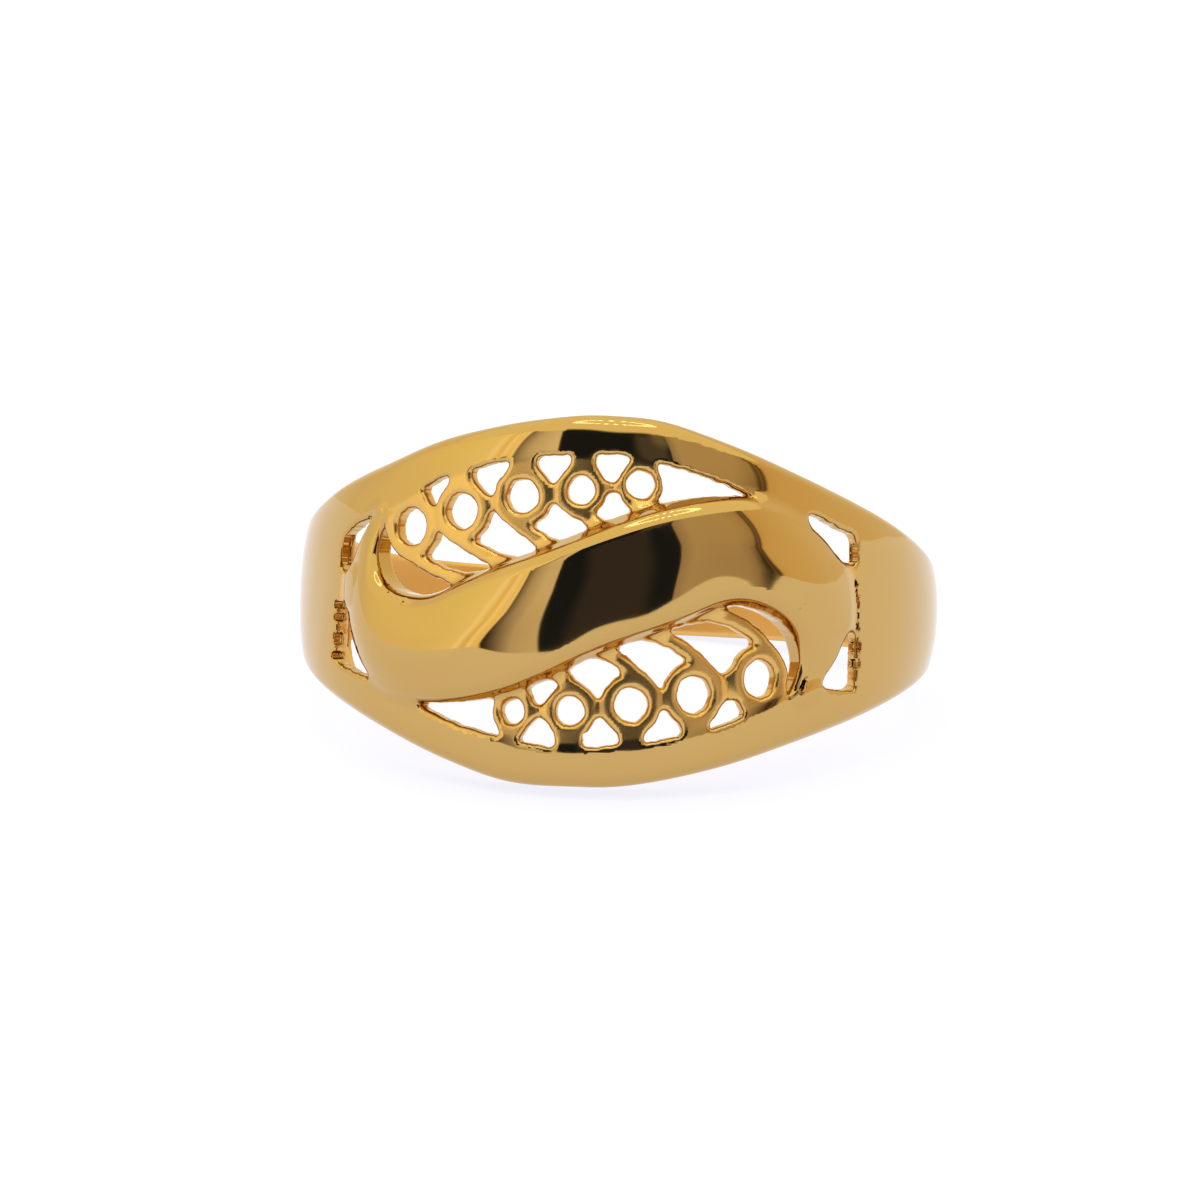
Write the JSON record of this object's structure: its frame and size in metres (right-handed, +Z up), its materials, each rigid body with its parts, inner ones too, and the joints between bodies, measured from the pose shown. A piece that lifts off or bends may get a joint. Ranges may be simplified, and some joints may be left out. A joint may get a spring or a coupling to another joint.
{
  "type": "pierced gold finger ring",
  "caption": "Broad finger ring with a rimmed, pierced head: a raised S-shaped band crosses it between two rows of open scroll rings with tails.",
  "frame": {"origin": "centre of the ring's bounding box, on the surface that the ring lies on", "axes": "+Z up, -Y towards the head, which leans back so that its face looks forward and a little up, +X to the right when facing the head"},
  "size_m": [0.0194, 0.0202, 0.0108],
  "materials": {
    "gold": "polished high-carat yellow gold"
  },
  "bodies": {
    "root": {"gold_ring": "gold"}
  },
  "joints": []
}
